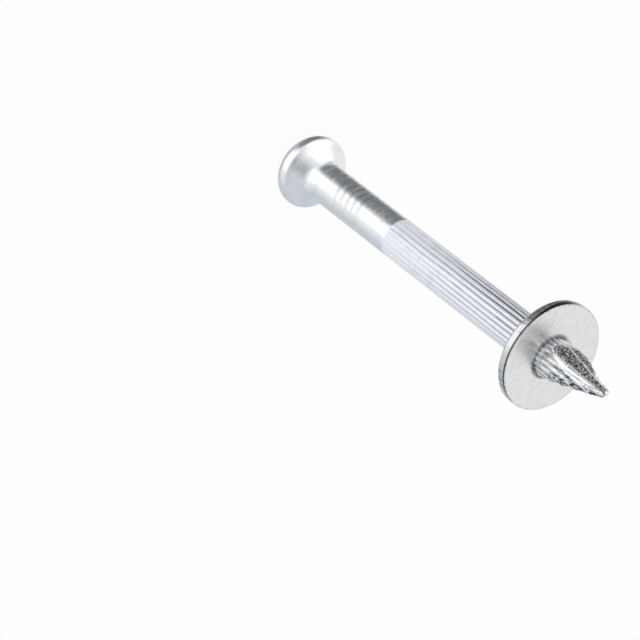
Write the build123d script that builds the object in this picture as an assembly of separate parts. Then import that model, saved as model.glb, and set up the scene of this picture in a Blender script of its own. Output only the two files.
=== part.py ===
from build123d import *
from math import atan, cos, pi, radians, sin
import os

# A powder-tool drive pin: a hardened nail and the guide washer pressed on it.
# Millimetres. The pin stands on its head: the origin is the centre of the flat
# struck face, +Z runs along the axis to the point, and -X is the side to which
# the pressed point leans.

# The pin's length, from the struck face to the tip
PIN_LENGTH = 52.5

# Head
HEAD_DIAMETER = 8.4
STRUCK_FACE_DIAMETER = 5.3
CROWN_HEIGHT = 1.8          # struck face to the widest line of the head
CROWN_SLOPE = 18.0          # degrees, the dome's rise just outside the struck face
RIM_RADIUS = 1.2            # rounding under the widest line
FLARE_ANGLE = 52.0          # degrees between the flare's side and the axis
FLARE_RADIUS = 2.9          # hollow where the flare runs out into the shank

# Shank
SHANK_DIAMETER = 4.5
KNURL_START = 17.9          # height at which the straight knurl begins
KNURL_DIAMETER = 4.5        # over the crests
FLUTE_COUNT = 24
FLUTE_DEPTH = 0.12
FLUTE_WIDTH = 0.26          # mouth of the valley between two ridges

# Grip marks: shallow rings that the heading dies leave on their two sides
GRIP_COUNT = 5
GRIP_FIRST = 9.0            # height of the lowest ring
GRIP_PITCH = 1.0
GRIP_DEPTH = 0.06
GRIP_WIDTH = 0.5
GRIP_ARC = 140.0            # degrees of the shank that each die marks

# Point: the knurled bar narrows to a blunt chisel edge that lies off the axis
POINT_LENGTH = 8.0
POINT_LEAN = 0.42           # how far the tip lies from the axis, towards -X
TIP_WIDTH = 1.05            # the chisel edge along X
TIP_THICKNESS = 0.54        # and along Y
WIDTH_FULLNESS = 1.2        # the +X side: 1 is a straight taper, and more is a fuller curve
THICKNESS_FULLNESS = 1.6
PINCH_START = 0.30          # share of the point where the dies begin to pinch its -X side
PINCH_END = 0.95            # and where that side has come in to the width of the tip
NOSE_LENGTH = 0.22          # rounding of the tip
NOSE_SHARE = 0.6            # the nose's end as a share of the tip
POINT_SECTIONS = 8

# Flats pressed on the point: the way each faces, in degrees about Z, the height at
# which it leaves the bar, and its distance from the axis level with the tip
POINT_FLATS = (
    (-119.0, 45.0, 0.38),
    (-150.0, 45.9, 0.61),
    (-91.0, 45.3, 0.24),
    (-57.0, 44.5, 0.40),
    (-68.0, 46.3, 0.06),
    (60.0, 44.6, 0.02),
    (119.0, 45.0, 0.83),
)

# Guide washer
WASHER_DIAMETER = 12.0
WASHER_THICKNESS = 1.25
WASHER_HEIGHT = 43.0        # its head-side face
WASHER_BORE_GAP = 0.0       # a press fit: the knurl's crests bear on the bore
WASHER_ROLLOVER = 0.42      # edge rounded by blanking, on the head side
WASHER_BURR_EDGE = 0.06     # sharp edge on the point side, just broken

head_radius = HEAD_DIAMETER / 2
shank_radius = SHANK_DIAMETER / 2
crest_radius = KNURL_DIAMETER / 2
flute_share = 1 - FLUTE_DEPTH / crest_radius
point_start = PIN_LENGTH - POINT_LENGTH


def headed_blank():
    """The plain turned form: struck face, domed crown, flare and smooth shank."""
    flare = radians(FLARE_ANGLE)
    turn_in = (RIM_RADIUS + FLARE_RADIUS) * (1 - cos(flare))
    flare_run = (head_radius - shank_radius - turn_in) / sin(flare)
    slope = radians(CROWN_SLOPE)
    face_edge = (STRUCK_FACE_DIAMETER / 2, 0)
    with BuildSketch(Plane.XZ) as half:
        with BuildLine():
            Line((0, 0), face_edge)
            Spline(
                face_edge,
                (head_radius, CROWN_HEIGHT),
                tangents=[(cos(slope), sin(slope)), (0, 1)],
            )
            rim = JernArc((head_radius, CROWN_HEIGHT), (0, 1), RIM_RADIUS, FLARE_ANGLE)
            side = Line(rim @ 1, rim @ 1 + flare_run * (rim % 1))
            throat = JernArc(side @ 1, side % 1, FLARE_RADIUS, -FLARE_ANGLE)
            Polyline(throat @ 1, (shank_radius, KNURL_START), (0, KNURL_START), (0, 0))
        make_face()
    return revolve(half.sketch, Axis.Z)


def fluted_outline(height, half_width, half_thickness, lean):
    """A closed outline of flat-backed ridges that meet in narrow valleys."""
    pitch = 2 * pi / FLUTE_COUNT
    shoulder = pitch / 2 - FLUTE_WIDTH / KNURL_DIAMETER
    corners = []
    for ridge in range(FLUTE_COUNT):
        crest = ridge * pitch
        for turn, share in ((-pitch / 2, flute_share), (-shoulder, 1), (shoulder, 1)):
            x = half_width * share * cos(crest + turn) - lean
            y = half_thickness * share * sin(crest + turn)
            corners.append((x, y, height))
    return make_face(Polyline(corners, close=True))


def point_section(share):
    """The outline at a share of the point's length, from full bar to chisel edge."""
    height = point_start + share * (POINT_LENGTH - NOSE_LENGTH)
    half_thickness = crest_radius - (crest_radius - TIP_THICKNESS / 2) * share**THICKNESS_FULLNESS
    # The +X side curves in all the way. The -X side keeps the line of the bar, so that
    # the washer still passes over the point, until the dies pinch it in to a short nib.
    tip_to_plus = TIP_WIDTH / 2 - POINT_LEAN
    tip_to_minus = TIP_WIDTH / 2 + POINT_LEAN
    pinch = min(1, max(0, (share - PINCH_START) / (PINCH_END - PINCH_START)))
    to_plus = crest_radius - (crest_radius - tip_to_plus) * share**WIDTH_FULLNESS
    to_minus = tip_to_minus + (crest_radius - tip_to_minus) * cos(pinch * pi / 2) ** 2
    half_width = (to_plus + to_minus) / 2
    lean = (to_minus - to_plus) / 2
    return fluted_outline(height, half_width, half_thickness, lean)


def knurled_bar():
    """The straight knurl, from its abrupt start to the root of the point."""
    outline = fluted_outline(KNURL_START, crest_radius, crest_radius, 0)
    return extrude(outline, point_start - KNURL_START, dir=(0, 0, 1))


def pressed_point():
    """The ridges drawn down to the blunt tip, then the flats that the dies pressed."""
    sections = [point_section(n / POINT_SECTIONS) for n in range(POINT_SECTIONS + 1)]
    sections.append(
        fluted_outline(
            PIN_LENGTH,
            TIP_WIDTH / 2 * NOSE_SHARE,
            TIP_THICKNESS / 2 * NOSE_SHARE,
            POINT_LEAN,
        )
    )
    point = loft(sections, ruled=True)
    reach = 4 * POINT_LENGTH
    for facing, start, distance in POINT_FLATS:
        slope = atan((crest_radius - distance) / (PIN_LENGTH - start))
        outward = Vector(1, 0, 0).rotate(Axis.Z, facing)
        pressed = Plane(
            origin=outward * distance + Vector(0, 0, PIN_LENGTH),
            z_dir=outward * cos(slope) + Vector(0, 0, sin(slope)),
        )
        point -= pressed * Box(reach, reach, reach, align=(Align.CENTER, Align.CENTER, Align.MIN))
    return point


def grip_marks():
    """Shallow grooves across the two sides of the shank that the dies held."""
    mouth = GRIP_WIDTH / 2
    marks = []
    for ring in range(GRIP_COUNT):
        height = GRIP_FIRST + ring * GRIP_PITCH
        edge = Polyline(
            (shank_radius - GRIP_DEPTH, height),
            (shank_radius + GRIP_DEPTH, height + 2 * mouth),
            (shank_radius + GRIP_DEPTH, height - 2 * mouth),
            close=True,
        )
        groove = revolve(Plane.XZ * make_face(edge), Axis.Z, revolution_arc=GRIP_ARC)
        for middle in (-90, 90):
            marks.append(Rot(0, 0, middle - GRIP_ARC / 2) * groove)
    return marks


def drive_pin():
    pin = headed_blank() + knurled_bar() + pressed_point()
    for mark in grip_marks():
        pin -= mark
    return pin


def guide_washer():
    """A blanked steel disc, driven over the knurl as far as the root of the point."""
    bore_radius = crest_radius + WASHER_BORE_GAP
    disc = Cylinder(
        WASHER_DIAMETER / 2,
        WASHER_THICKNESS,
        align=(Align.CENTER, Align.CENTER, Align.MIN),
    )
    edges = disc.edges().filter_by(GeomType.CIRCLE).sort_by(Axis.Z)
    disc = fillet(edges[0], WASHER_ROLLOVER)
    rim = disc.edges().filter_by(GeomType.CIRCLE).sort_by(Axis.Z)[-1]
    disc = chamfer(rim, WASHER_BURR_EDGE)
    washer = disc - Cylinder(bore_radius, 3 * WASHER_THICKNESS)
    return Pos(0, 0, WASHER_HEIGHT) * washer


os.makedirs("parts", exist_ok=True)
export_step(drive_pin(), "parts/drive_pin.step")
export_step(guide_washer(), "parts/guide_washer.step")
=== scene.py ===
import bmesh
import bpy
from math import acos, atan2, copysign, cos, exp, hypot, pi, radians, sin
from mathutils import Matrix, Vector, noise
from mathutils.geometry import interpolate_bezier


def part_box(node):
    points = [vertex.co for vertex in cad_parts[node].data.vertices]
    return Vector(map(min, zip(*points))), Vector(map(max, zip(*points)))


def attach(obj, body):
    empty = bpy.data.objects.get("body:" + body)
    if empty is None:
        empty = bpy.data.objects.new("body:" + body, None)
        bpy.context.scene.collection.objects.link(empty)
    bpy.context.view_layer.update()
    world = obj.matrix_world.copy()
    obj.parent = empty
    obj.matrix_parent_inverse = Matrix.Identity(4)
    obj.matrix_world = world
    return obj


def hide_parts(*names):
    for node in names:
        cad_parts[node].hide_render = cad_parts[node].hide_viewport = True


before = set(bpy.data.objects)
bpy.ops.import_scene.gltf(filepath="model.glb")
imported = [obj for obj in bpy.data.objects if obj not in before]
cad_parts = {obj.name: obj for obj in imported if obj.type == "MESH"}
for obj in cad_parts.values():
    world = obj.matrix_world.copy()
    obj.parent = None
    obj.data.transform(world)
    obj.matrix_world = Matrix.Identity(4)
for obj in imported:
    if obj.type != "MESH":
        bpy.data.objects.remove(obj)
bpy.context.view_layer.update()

# ---------------------------------------------------------------------------
# The nail. One piece of zinc-plated, hardened wire: headed cold between two dies,
# rolled with a straight knurl, and pressed to a blunt point that leans to -X.
# Its turned form is spun from half an outline, and the rest is then pressed in.
# ---------------------------------------------------------------------------
MM = 0.001
_, nail_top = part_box("drive_pin")
nail_length = nail_top.z
head_radius = nail_top.x
struck_face_radius = 2.65 * MM
crown_height = 1.8 * MM
crown_slope = radians(18)
crown_reach = 0.9 * MM
rim_radius = 1.2 * MM
flare_angle = radians(52)
flare_radius = 2.9 * MM
shank_radius = 2.25 * MM
grips_low = 8.5 * MM
grips_high = 13.5 * MM
knurl_start = 17.9 * MM
ramp_length = 0.35 * MM
point_length = 8.0 * MM
point_start = nail_length - point_length
nose_length = 0.22 * MM
flute_count = 24

# The outline's steps are short where the surface is marked, and long elsewhere.
facets_per_flute = 8
crown_steps = 20
long_step = 0.3 * MM
side_step = 0.25 * MM
point_step = 0.06 * MM
ramp_step = 0.05 * MM
fine_step = 0.04 * MM


def arc(start, heading, radius, turn, steps):
    """Points along an arc, after its start. A positive turn is anticlockwise."""
    side = 1 if turn > 0 else -1
    centre = start + side * radius * Vector((-sin(heading), cos(heading)))
    spoke = start - centre
    return [
        centre + Matrix.Rotation(turn * n / steps, 2) @ spoke
        for n in range(1, steps + 1)
    ]


def straight(start, end, step):
    """Points along a straight line, after its start, about a step apart."""
    count = max(1, round((end - start).length / step))
    return [start.lerp(end, n / count) for n in range(1, count + 1)]


def in_order(mesh):
    """The faces in the order of their vertices, because merging leaves it to chance."""
    mesh.verts.index_update()
    count = len(mesh.verts)

    def rank(face):
        first, second, third = sorted(vert.index for vert in face.verts)[:3]
        return (first * count + second) * count + third

    mesh.faces.sort(key=rank)


def spun(outline, steps):
    """A closed solid of revolution about Z from (radius, height) points."""
    mesh = bmesh.new()
    verts = [mesh.verts.new((p.x, 0, p.y)) for p in outline]
    edges = [mesh.edges.new(pair) for pair in zip(verts, verts[1:])]
    bmesh.ops.spin(
        mesh,
        geom=verts + edges,
        cent=(0, 0, 0),
        axis=(0, 0, 1),
        angle=2 * pi,
        steps=steps,
        use_merge=True,
    )
    bmesh.ops.remove_doubles(mesh, verts=mesh.verts, dist=1e-7)
    in_order(mesh)
    return mesh


def placed(mesh, name, material):
    """The mesh as an object of the scene, in its material."""
    data = bpy.data.meshes.new(name)
    mesh.to_mesh(data)
    mesh.free()
    data.materials.append(material)
    thing = bpy.data.objects.new(name, data)
    bpy.context.scene.collection.objects.link(thing)
    return thing


def finished(mesh, name, material, node):
    """The mesh as a smooth piece that stands for one node of the frame."""
    bmesh.ops.recalc_face_normals(mesh, faces=mesh.faces)
    for face in mesh.faces:
        face.smooth = True
    piece = placed(mesh, name, material)
    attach(piece, "root")
    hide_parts(node)


def on_wire(height):
    """The place on the outline where the shank's surface has this height."""
    return Vector((shank_radius, height))


face_edge = Vector((struck_face_radius, 0))
widest = Vector((head_radius, crown_height))
crown = interpolate_bezier(
    face_edge,
    face_edge + crown_reach * Vector((cos(crown_slope), sin(crown_slope))),
    widest - crown_reach * Vector((0, 1)),
    widest,
    crown_steps,
)
rim = arc(widest, pi / 2, rim_radius, flare_angle, steps=12)
turned_in = (rim_radius + flare_radius) * (1 - cos(flare_angle))
side_run = (head_radius - shank_radius - turned_in) / sin(flare_angle)
side_end = rim[-1] + side_run * Vector((-sin(flare_angle), cos(flare_angle)))
side = straight(rim[-1], side_end, side_step)
throat = arc(side_end, pi / 2 + flare_angle, flare_radius, -flare_angle, steps=16)
ramp_end = on_wire(knurl_start + ramp_length + ramp_step)
nose_start = on_wire(nail_length - nose_length)
outline = [Vector((0, 0))] + crown + rim + side + throat
outline += straight(throat[-1], on_wire(grips_low), long_step)
outline += straight(on_wire(grips_low), on_wire(grips_high), fine_step)
outline += straight(on_wire(grips_high), on_wire(knurl_start), long_step)
outline += straight(on_wire(knurl_start), ramp_end, ramp_step)
outline += straight(ramp_end, on_wire(point_start), long_step)
outline += straight(on_wire(point_start), nose_start, point_step)
outline += straight(nose_start, on_wire(nail_length), fine_step)
outline += [Vector((0, nail_length))]
nail = spun(outline, flute_count * facets_per_flute)

# The knurl: narrow ridges with sloping sides. Rolling leaves each a little different
# in depth and place, and they wander slightly along the wire and deepen towards the
# point. There the ridges keep straight on, and run out one by one at its two edges.
flute_depth = 0.15 * MM
flute_pitch = 2 * pi / flute_count
shallow_start = 0.42
deepening = 1.4
ridge_fullness = 1.8
fullness_lost = 0.6
wander = 0.16
wander_length = 7 * MM
unevenness = 0.5
uneven_length = 12 * MM
ridge_spread = 3.7


def valley_depth(turn, height):
    """The surface under the crests: 0 on the back of a ridge, and 1 in a valley."""
    around = Vector((cos(turn), sin(turn), 0))
    along_wire = Vector((0, 0, height / wander_length))
    place = turn / flute_pitch + wander * noise.noise(around * 2 + along_wire)
    ridge = round(place)
    across = 2 * abs(place - ridge)
    own_place = Vector((ridge % flute_count * ridge_spread, 0.5, height / uneven_length))
    unlike = noise.noise(own_place)
    run = min(1, max(0, (height - knurl_start) / (point_start - knurl_start)))
    growth = shallow_start + (1 - shallow_start) * run**deepening
    slope = across ** (ridge_fullness - fullness_lost * run)
    return growth * (1 + unevenness * unlike) * slope


# The grip marks: shallow rings that the heading dies bite across their two sides.
# They are a little askew, and fade out at the ends of each side.
grip_heights = [(8.75 + n) * MM for n in range(5)]
grip_depth = 0.04 * MM
grip_half_width = 0.38 * MM
grip_middle = radians(102)
grip_half_arc = radians(50)
grip_fade = radians(22)
faintest_grip = 0.1
grip_skew = 0.15 * MM
grip_waver = 0.08 * MM
grip_grain = 0.5


def grip_bite(turn, height):
    """Depth of the grip marks, from 0 to 1."""
    from_middle = abs(abs(turn) - grip_middle)
    held = min(1, max(faintest_grip, (grip_half_arc - from_middle) / grip_fade))
    waver = noise.noise(Vector((turn * 3, height / MM, 0)))
    skewed = height + grip_skew * sin(turn * 2) + grip_waver * waver
    off = min(abs(skewed - ring) for ring in grip_heights)
    return held * cos(min(1, off / grip_half_width) * pi / 2) ** 2


# The point: the +X side curves in to the tip, and the -X side keeps the line of the
# bar until it is pinched to a short nib. Then flats are pressed on it.
tip_to_east = 0.105 * MM
tip_to_west = 0.945 * MM
tip_half_thickness = 0.27 * MM
east_fullness = 1.2
thickness_fullness = 1.6
pinch_start = 0.30
pinch_run = 0.65
point_flats = (
    # The way it faces, the height at which it leaves the bar, its distance from the
    # axis level with the tip, how grainy the die left it, whether it is sunk by a
    # step, and how far the ridges and folds still stand on it.
    (radians(-119), 45.0 * MM, 0.38 * MM, 1.0, 0, 0),
    (radians(-150), 45.9 * MM, 0.61 * MM, 1.5, 0, 0.45),
    (radians(-91), 45.3 * MM, 0.28 * MM, 0.0, 0, 0),
    (radians(-78), 44.7 * MM, 0.72 * MM, 0.4, 1, 0.1),
    (radians(-70), 45.3 * MM, 0.22 * MM, 0.4, 1, 0.1),
    (radians(-57), 44.5 * MM, 0.40 * MM, 0.2, 1, 0.8),
    (radians(-68), 46.3 * MM, 0.06 * MM, 0.1, 1, 0.5),
    (radians(60), 44.6 * MM, 0.02 * MM, 0.8, 0, 0),
    (radians(119), 45.0 * MM, 0.83 * MM, 0.5, 0, 0),
)

# Metal stands up in a thin flash between two grainy flats, and the other edges are
# rounded. Heights, depths and widths are shares of the section's own radius.
flash_height = 0.06
seam_width = 0.045
step_depth = 0.03
soft_edge = 0.14
edge_rounding = 0.7 * soft_edge
gutter_width = 0.1
ridge_fade = 0.02
valley_growth = 1.2
nose_rounding = 0.45

# The point's -X edge is painted dark as shade and a dark line is drawn round the nose,
# shade is painted into the gutter under a step, and the pinched nib is grainy.
dark_line_strength = 0.9
nose_line = nail_length - 1.1 * nose_length
nose_line_width = 0.08 * MM
gutter_shade = 1.1
nib_graininess = 0.9


def point_section(height):
    """The share of the point and of its pinch, and the section's middle and half sizes."""
    share = min(1, max(0, (height - point_start) / (point_length - nose_length)))
    pinch = min(1, max(0, (share - pinch_start) / pinch_run))
    to_east = shank_radius - (shank_radius - tip_to_east) * share**east_fullness
    to_west = tip_to_west + (shank_radius - tip_to_west) * cos(pinch * pi / 2) ** 2
    thinned = (shank_radius - tip_half_thickness) * share**thickness_fullness
    half_width = (to_east + to_west) / 2
    return share, pinch, (to_east - to_west) / 2, half_width, shank_radius - thinned


def pressed(co, turn):
    """A vertex of the bar at its place on the point, with its grain, valley, edge and folds."""
    share, pinch, middle, half_width, half_thickness = point_section(co.z)
    centre = Vector((middle, 0))
    out = Vector((half_width * cos(turn), half_thickness * sin(turn)))
    from_axis = min(1, max(-1, (middle + out.x) / shank_radius))
    valley = valley_depth(copysign(acos(from_axis), turn), co.z)
    drop = valley * flute_depth / shank_radius * (1 + valley_growth * share)
    from_root = min(1, 3 * share)
    past_tip = max(0, co.z - nail_length + nose_length) / nose_length
    rounding = (1 - nose_rounding * past_tip**2) * hypot(co.x, co.y) / shank_radius
    west = max(0, -cos(turn))
    # The point's -X edge is painted dark as shade, and a dark line is drawn round the nose.
    on_nose_line = exp(-(((co.z - nose_line) / nose_line_width) ** 2))
    scale = dark_line_strength * max(from_root * west**8, on_nose_line)
    presses = []
    for facing, start, distance, *finish in point_flats:
        normal = Vector((cos(facing), sin(facing)))
        fall = (shank_radius - distance) / (nail_length - start)
        room = distance + fall * (nail_length - co.z) - normal.dot(centre)
        presses.append((normal.dot(out) / room, *finish))
    presses.sort(reverse=True)
    hardest, grain, sunk, folds = presses[0]
    second, beside_grain, beside_sunk, _ = presses[1]
    if hardest < 1:
        nib_grain = nib_graininess * (1 - past_tip) * pinch * west**0.5
        return centre + out * (1 - drop) * rounding, nib_grain, max(valley, scale), 0, from_root
    lead = hardest - max(second, 1)
    both_grainy = min(1, grain * beside_grain)
    flash = both_grainy * share * exp(-((lead / seam_width) ** 2))
    left = max(folds, exp(-(hardest - 1) / ridge_fade))
    step = sunk * (1 - beside_sunk)
    sink = step_depth * step * min(1, lead / gutter_width)
    # Shade is painted into the gutter under a step.
    gutter = gutter_shade * step * exp(-((lead / gutter_width) ** 2))
    worn = (1 - max(sunk, beside_sunk)) * (1 - both_grainy) * exp(-lead / soft_edge)
    height = 1 + flash_height * flash - edge_rounding * worn - sink
    reach = (1 - drop * left) * height / hardest
    # The valley value also carries the painted shade of the gutter and of the point's edge.
    valley = max(valley * left, gutter, scale * (1 - flash))
    grain *= (1 - flash) * (1 - past_tip)
    return centre + out * reach * rounding, grain, valley, flash, folds * from_root


# The marks are pressed in, and each vertex keeps what its finish follows: how grainy
# it is, how deep in a valley, how near the flash, and how far it is folded.
finish_layer = nail.verts.layers.float_color.new("finish")
for vert in nail.verts:
    turn = atan2(vert.co.y, vert.co.x)
    height = vert.co.z
    grain = edge = valley = folds = 0
    if height > point_start:
        vert.co.xy, grain, valley, edge, folds = pressed(vert.co, turn)
    elif height >= knurl_start:
        valley = valley_depth(turn, height) * min(1, (height - knurl_start) / ramp_length)
        vert.co.xy *= 1 - valley * flute_depth / shank_radius
    elif height > throat[-1].y:
        bite = grip_bite(turn, height)
        grain = grip_grain * bite
        vert.co.xy *= 1 - bite * grip_depth / shank_radius
    vert[finish_layer] = (grain, valley, edge, folds)


class Value:
    """An output of a material's nodes, on which sums can be written."""

    def __init__(self, nodes, socket):
        self.nodes = nodes
        self.socket = socket

    def maths(self, operation, first, second):
        return self.nodes.node("ShaderNodeMath", {"operation": operation}, {0: first, 1: second})

    def __add__(self, other):
        return self.maths("ADD", self, other)

    def __radd__(self, other):
        return self.maths("ADD", other, self)

    def __sub__(self, other):
        return self.maths("SUBTRACT", self, other)

    def __rsub__(self, other):
        return self.maths("SUBTRACT", other, self)

    def __mul__(self, other):
        return self.maths("MULTIPLY", self, other)

    def __rmul__(self, other):
        return self.maths("MULTIPLY", other, self)

    def __truediv__(self, other):
        return self.maths("DIVIDE", self, other)

    def __pow__(self, other):
        return self.maths("POWER", self, other)


class Nodes:
    """A node tree, with one way to add each of its nodes."""

    def __init__(self, tree):
        self.tree = tree

    def node(self, kind, settings=None, sockets=None, output=0):
        """Adds a node, with its settings first, and gives one of its outputs."""
        node = self.tree.nodes.new(kind)
        for key, entry in (settings or {}).items():
            setattr(node, key, entry)
        self.fill(node, sockets or {})
        return Value(self, node.outputs[output])

    def fill(self, node, sockets):
        """Sets or links a node's sockets, by name or by number."""
        for key, entry in sockets.items():
            if isinstance(entry, Value):
                self.tree.links.new(entry.socket, node.inputs[key])
            else:
                node.inputs[key].default_value = entry

    def split(self, kind, whole):
        """The three parts of a colour or a vector."""
        first = self.node(kind, sockets={0: whole})
        return [Value(self, socket) for socket in first.socket.node.outputs]

    def ramp(self, value, low, high, start=0.0, end=1.0):
        """The value's run from low to high, as a smooth run from start to end."""
        sockets = {"Value": value, "From Min": low, "From Max": high, "To Min": start, "To Max": end}
        return self.node("ShaderNodeMapRange", {"interpolation_type": "SMOOTHSTEP"}, sockets)

    def mix(self, factor, first, second):
        """Two colours mixed by a factor."""
        sockets = {0: factor, 6: first, 7: second}
        return self.node("ShaderNodeMix", {"data_type": "RGBA"}, sockets, output=2)


class Finish(Nodes):
    """A material that follows the piece it is on."""

    def __init__(self, name):
        self.material = bpy.data.materials.new(name)
        self.material.use_nodes = True
        super().__init__(self.material.node_tree)
        self.shader = self.tree.nodes["Principled BSDF"]
        self.coords = self.node("ShaderNodeTexCoord", output="Object")

    def mapped(self, scale, rotation=(0, 0, 0)):
        """The piece's own coordinates, turned and scaled for a pattern."""
        sockets = {"Vector": self.coords, "Rotation": rotation, "Scale": scale}
        return self.node("ShaderNodeMapping", sockets=sockets)

    def noise(self, place, detail=3.0):
        """Noise at a mapped place, one grain to each unit there."""
        sockets = {"Vector": place, "Scale": 1.0, "Detail": detail}
        return self.node("ShaderNodeTexNoise", sockets=sockets)

    def grains(self, per_metre, detail=3.0, stretch=(1, 1, 1)):
        """Noise with so many grains to a metre, drawn out by the stretch."""
        return self.noise(self.mapped([per_metre * s for s in stretch]), detail)

    def bump(self, relief, strength, distance):
        """The shading of a relief, whose full height is the distance in metres."""
        sockets = {"Height": relief, "Strength": strength, "Distance": distance}
        return self.node("ShaderNodeBump", sockets=sockets)


# The nail's finish: bright zinc on the head and the shank, paler where the knurl was
# rolled, bare and pitted where the dies pressed the point, and painted dark as shade in its valleys.
bright_zinc = (0.82, 0.83, 0.84, 1)
rolled_zinc = (0.89, 0.915, 0.99, 1)
dull_zinc = (0.66, 0.68, 0.69, 1)
dark_zinc = (0.035, 0.04, 0.05, 1)
pressed_steel = (0.62, 0.63, 0.64, 1)
pitted_steel = (0.06, 0.06, 0.065, 1)
fold_scale = (8000, 5500, 900)
fold_slant = radians(-14)
pits_per_metre = 12000.0
polish = 0.17
matt_struck_face = 0.12

# The washer parts the knurl's painted valley shade from the shadow painted at the root of the point.
washer_low, washer_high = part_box("guide_washer")
root_shadow_height = washer_high.z + 1.3 * MM
root_shadow_fade = 1.0 * MM

nail_zinc = Finish("nail_zinc")
layer = nail_zinc.node("ShaderNodeAttribute", {"attribute_name": "finish"}, output="Color")
grain, valley, edge = nail_zinc.split("ShaderNodeSeparateColor", layer)
folded = Value(nail_zinc, layer.socket.node.outputs["Alpha"])
east, _, along = nail_zinc.split("ShaderNodeSeparateXYZ", nail_zinc.coords)
on_point = nail_zinc.ramp(along, point_start, point_start + 0.5 * MM)
on_knurl = nail_zinc.ramp(along, knurl_start, knurl_start + ramp_length) * (1 - on_point)
on_struck_face = nail_zinc.ramp(along, 0.06 * MM, 0.01 * MM)
past_washer = nail_zinc.ramp(along, washer_low.z, washer_high.z)
plain = (1 - grain) * (1 - on_knurl) * (1 - on_point)

draw_marks = nail_zinc.grains(6500, stretch=(1, 1, 0.02))
die_marks = nail_zinc.grains(2500, stretch=(0.3, 0.3, 1))
mottle = nail_zinc.grains(900)
anvil_marks = nail_zinc.grains(4000, detail=4)

# What the flats miss is folded lengthwise, at a slant across the ridges, and shade is painted into
# the folds' creases.
fold_place = nail_zinc.mapped(fold_scale, rotation=(0, fold_slant, 0))
fold_lines = nail_zinc.noise(fold_place, detail=2)
fold_backs = folded * nail_zinc.ramp(fold_lines, 0.47, 0.42)
fold_valleys = folded * nail_zinc.ramp(fold_lines, 0.49, 0.55) * (1 - edge)

# The dies' grain is a field of small cells: some are pits, and all differ in depth.
cell_sockets = {"Vector": nail_zinc.coords, "Scale": pits_per_metre}
cells = nail_zinc.node("ShaderNodeTexVoronoi", sockets=cell_sockets, output="Color")
bright_cell, deep_cell, _ = nail_zinc.split("ShaderNodeSeparateColor", cells)
pits = grain**2 * nail_zinc.ramp(bright_cell, 0.58, 0.80, 1, 0)

# A shadow is painted where the point leaves the washer, patchy with the mottle.
root_shadow = nail_zinc.ramp(along, root_shadow_height, root_shadow_height - root_shadow_fade) * past_washer
root_shadow = root_shadow * nail_zinc.ramp(mottle + 0.3 * draw_marks, 0.5, 0.75)

# Shade is painted dark into the valleys up to the washer, most on the -X side.
before_washer = 1 - past_washer
shaded_side = nail_zinc.ramp(east, 0.6 * shank_radius, -0.6 * shank_radius) * before_washer
lit_side = before_washer - shaded_side
shade_reach = valley * (0.9 + 0.5 * shaded_side) + 0.2 * lit_side
shade_strength = 0.62 + 0.35 * shaded_side - 0.17 * lit_side
valley_shade = nail_zinc.ramp(shade_reach, 0.3, 1.0) * shade_strength

shade = nail_zinc.mix(on_knurl, bright_zinc, rolled_zinc)
for dulled in (
    nail_zinc.ramp(mottle, 0.5, 0.75, 0, 0.4),
    nail_zinc.ramp(draw_marks, 0.55, 0.7, 0, 0.2) * on_knurl,
    nail_zinc.ramp(anvil_marks, 0.42, 0.62) * on_struck_face,
):
    shade = nail_zinc.mix(dulled, shade, dull_zinc)
# Painted shade in the valleys.
shade = nail_zinc.mix(valley_shade, shade, dark_zinc)
shade = nail_zinc.mix(grain, shade, pressed_steel)
shade = nail_zinc.mix(fold_backs, shade, bright_zinc)
# Painted shade in the folds' creases.
shade = nail_zinc.mix(fold_valleys, shade, dark_zinc)
# The painted shadow at the root of the point.
shade = nail_zinc.mix(root_shadow * 0.5, shade, dark_zinc)
shade = nail_zinc.mix(pits, shade, pitted_steel)
# A highlight is painted along the flash in bright zinc.
shade = nail_zinc.mix(nail_zinc.ramp(edge, 0.04, 0.3), shade, bright_zinc)

# The rolled knurl is more matt than the drawn wire, and most so at its shallow start.
matt_plate = on_knurl * nail_zinc.ramp(along, knurl_start, point_start, 0.75, 0.6)
matt_knurl = on_knurl * nail_zinc.ramp(along, knurl_start, point_start, 0.3, 0.14)
matt_wire = plain * nail_zinc.ramp(die_marks, 0.4, 0.7, 0.07, 0.23)
roughness = polish + matt_knurl + on_struck_face * matt_struck_face + matt_wire
relief = draw_marks * on_knurl * 0.15 + die_marks * plain * 0.2 + deep_cell * grain * 0.3
relief = relief + fold_backs - fold_valleys + on_struck_face * anvil_marks
nail_zinc.fill(
    nail_zinc.shader,
    {
        "Base Color": shade,
        "Metallic": 1 - matt_plate,
        "Roughness": roughness,
        "Normal": nail_zinc.bump(relief, 0.5, 0.05 * MM),
    },
)
finished(nail, "nail", nail_zinc.material, "drive_pin")

# ---------------------------------------------------------------------------
# The guide washer. A zinc-plated disc, blanked from sheet steel and driven over
# the knurl. The punch rolled its head-side edge over and left the other one sharp,
# and its rim is burnished, then torn where the blank broke away.
# ---------------------------------------------------------------------------
washer_radius = washer_high.x
rollover = 0.42 * MM
burr = 0.06 * MM
torn_edge = 0.16 * MM
face_step = 0.5 * MM
rim_step = 0.15 * MM

bore_low = on_wire(washer_low.z)
bore_high = on_wire(washer_high.z)
roll_start = Vector((washer_radius - rollover, washer_low.z))
roll = arc(roll_start, 0, rollover, pi / 2, steps=12)
burr_low = Vector((washer_radius, washer_high.z - burr))
burr_high = Vector((washer_radius - burr, washer_high.z))
ring = [bore_high] + straight(bore_high, bore_low, long_step)
ring += straight(bore_low, roll_start, face_step) + roll
ring += straight(roll[-1], burr_low, rim_step)
ring += arc(burr_low, pi / 2, burr, pi / 2, steps=4)
ring += straight(burr_high, bore_high, face_step)
washer = spun(ring, flute_count * facets_per_flute)

face_zinc = (0.815, 0.81, 0.79, 1)
scored_zinc = (0.68, 0.68, 0.67, 1)
rim_zinc = (0.63, 0.63, 0.64, 1)
# Dark steel of the tear, also used as painted shade on the rim's -X side.
torn_shaded_steel = (0.05, 0.05, 0.055, 1)

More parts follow.
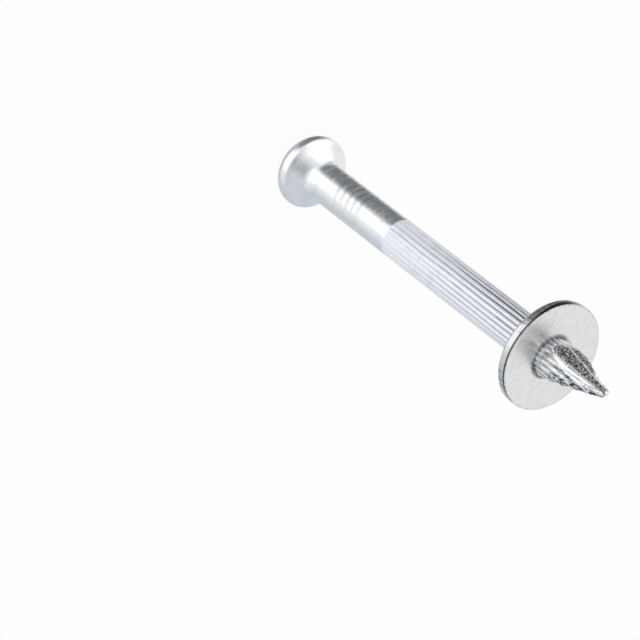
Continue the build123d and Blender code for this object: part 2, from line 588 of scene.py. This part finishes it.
washer_zinc = Finish("washer_zinc")
east, north, along = washer_zinc.split("ShaderNodeSeparateXYZ", washer_zinc.coords)
from_axis = (east * east + north * north) ** 0.5
on_rim = washer_zinc.ramp(from_axis, washer_radius - 3 * burr, washer_radius - burr)
scratches = washer_zinc.grains(7500, stretch=(0.12, 1, 1))
pits = washer_zinc.grains(3500, detail=2)
cloud = washer_zinc.grains(600)
tear = washer_zinc.grains(2500, stretch=(1, 1, 0.3))

# The torn zone, partly a real tear and partly painted shade, is widest on the -X side, and stops
# short of the burr.
shade_widening = washer_zinc.ramp(east, -0.2 * washer_radius, -washer_radius, 0, 2.5 * torn_edge)
torn_low = washer_high.z - 2 * torn_edge
torn_high = washer_high.z - torn_edge
under_burr = washer_zinc.ramp(along, washer_high.z - 0.2 * burr, washer_high.z - burr)
torn_and_shaded = washer_zinc.ramp(along + shade_widening, torn_low, torn_high) * under_burr * on_rim
rim_streaks = washer_zinc.ramp(tear, 0.5, 0.65, 0, 0.5)
rim_shade = washer_zinc.mix(rim_streaks, rim_zinc, torn_shaded_steel)
rim_shade = washer_zinc.mix(torn_and_shaded, rim_shade, torn_shaded_steel)

# The faces are finely scored and pitted, and shade is painted round the bore.
near_bore = washer_zinc.ramp(from_axis, shank_radius + 0.12 * MM, shank_radius)
bore_shade = near_bore * washer_zinc.ramp(scratches, 0.45, 0.55) * 0.45
scored = washer_zinc.ramp(scratches, 0.42, 0.62, 0, 0.7)
face_shade = washer_zinc.mix(scored, face_zinc, scored_zinc)
face_shade = washer_zinc.mix(washer_zinc.ramp(pits, 0.32, 0.24, 0, 0.6), face_shade, dark_zinc)
face_shade = washer_zinc.mix(bore_shade, face_shade, dark_zinc)
relief = scratches * 0.8 + washer_zinc.ramp(pits, 0.2, 0.35) * 0.8 + tear * on_rim
washer_zinc.fill(
    washer_zinc.shader,
    {
        "Base Color": washer_zinc.mix(on_rim, face_shade, rim_shade),
        "Metallic": 1.0,
        "Roughness": washer_zinc.ramp(cloud, 0.3, 0.8, 0.30, 0.38) - on_rim * 0.14,
        "Normal": washer_zinc.bump(relief, 0.35, 0.03 * MM),
    },
)
finished(washer, "washer", washer_zinc.material, "guide_washer")

# ---------------------------------------------------------------------------
# The table, the light and the camera. A pale table under soft studio light, and
# a long lens that looks down on the pin with the head at the upper left.
# ---------------------------------------------------------------------------
table_reach = 3.0
table_pale = (0.95, 0.95, 0.95, 1)
table_glow = 0.93
table = Finish("table")
table.fill(table.shader, {"Base Color": table_pale, "Roughness": 0.9})

# To the camera the table is nearly white, and what is left of it keeps the pin's shadow.
seen = table.node("ShaderNodeLightPath", output="Is Camera Ray")
white = table.node("ShaderNodeEmission", sockets={"Color": (1, 1, 1, 1), "Strength": 1.0})
matt = Value(table, table.shader.outputs[0])
shown = table.node("ShaderNodeMixShader", sockets={0: seen * table_glow, 1: matt, 2: white})
table.fill(table.tree.nodes["Material Output"], {"Surface": shown})

floor_mesh = bmesh.new()
bmesh.ops.create_grid(floor_mesh, x_segments=1, y_segments=1, size=table_reach)
floor = placed(floor_mesh, "floor", table.material)
floor.visible_glossy = False

# The tent round the table: what the bright metal mirrors. Its wall is pale. On it hang
# grey sheets on the right, a grey card over a white sheet in front, and a softbox on
# the left over two dark cards. The later panels hang in front of the earlier ones.
tent_white = (0.95, 0.97, 0.99, 1)
tent_panels = (
    # Azimuth, half width, soft edge, lowest and highest elevation, all in degrees, and
    # brightness.
    (40, 45, 50, -90, 15, (0.64, 0.70, 0.755, 1)),
    (330, 78, 40, 3, 90, (0.70, 0.735, 0.77, 1)),
    (288, 18, 24, 12, 90, (0.44, 0.44, 0.44, 1)),
    (284, 29, 16, -90, 6, (1.45, 1.45, 1.45, 1)),
    (207, 35, 26, -90, -13, (0.235, 0.245, 0.255, 1)),
    (168, 26, 24, -90, -35, (0.20, 0.21, 0.22, 1)),
    (191, 31, 14, -12, 90, (1.60, 1.60, 1.58, 1)),
)
table_light = (0.55, 0.58, 0.62, 1)
soft_light = (0.9, 0.9, 0.9, 1)
backdrop = (1, 1, 1, 1)
half_edge = radians(8) / 2
table_inner = sin(radians(-70))
table_outer = sin(radians(-58))

world = bpy.data.worlds.new("studio")
world.use_nodes = True
bpy.context.scene.world = world
tent = Nodes(world.node_tree)
way = tent.node("ShaderNodeTexCoord", output="Generated")
east, north, height = tent.split("ShaderNodeSeparateXYZ", way)
light = tent_white
for azimuth, half_width, soft, low, high, brightness in tent_panels:
    facing = east * cos(radians(azimuth)) + north * sin(radians(azimuth))
    beside = facing / (1 - height * height) ** 0.5
    inner = cos(radians(half_width - soft / 2))
    outer = cos(radians(half_width + soft / 2))
    mask = tent.ramp(beside, outer, inner)
    if low > -90:
        bottom = radians(low)
        mask = mask * tent.ramp(height, sin(bottom - half_edge), sin(bottom + half_edge))
    if high < 90:
        top = radians(high)
        mask = mask * tent.ramp(height, sin(top - half_edge), sin(top + half_edge), 1, 0)
    light = tent.mix(mask, light, brightness)

# Straight below, the metal mirrors the table. The tent is for mirrors alone: it lights
# matt surfaces evenly, and the camera sees plain white round the table.
on_table = tent.ramp(height, table_inner, table_outer, 1, 0)
mirrored = tent.node("ShaderNodeLightPath", output="Is Glossy Ray")
seen = tent.node("ShaderNodeLightPath", output="Is Camera Ray")
light = tent.mix(on_table, light, table_light)
light = tent.mix(mirrored, soft_light, light)
light = tent.mix(seen, light, backdrop)
tent.fill(tent.tree.nodes["Background"], {"Color": light, "Strength": 1.0})

sight = Vector((11.92 * MM, 0, 16.77 * MM))
distance = 318.9 * MM
elevation = radians(42.705)
roll_angle = radians(129.75)
camera_data = bpy.data.cameras.new("camera")
camera_data.sensor_width = 36
camera_data.lens = 169.26
camera_data.clip_start = 0.01
camera = bpy.data.objects.new("camera", camera_data)
bpy.context.scene.collection.objects.link(camera)
camera.matrix_world = (
    Matrix.Translation(sight + distance * Vector((0, -cos(elevation), sin(elevation))))
    @ Matrix.Rotation(pi / 2 - elevation, 4, "X")
    @ Matrix.Rotation(roll_angle, 4, "Z")
)
bpy.context.scene.camera = camera
bpy.context.scene.view_settings.view_transform = "Standard"
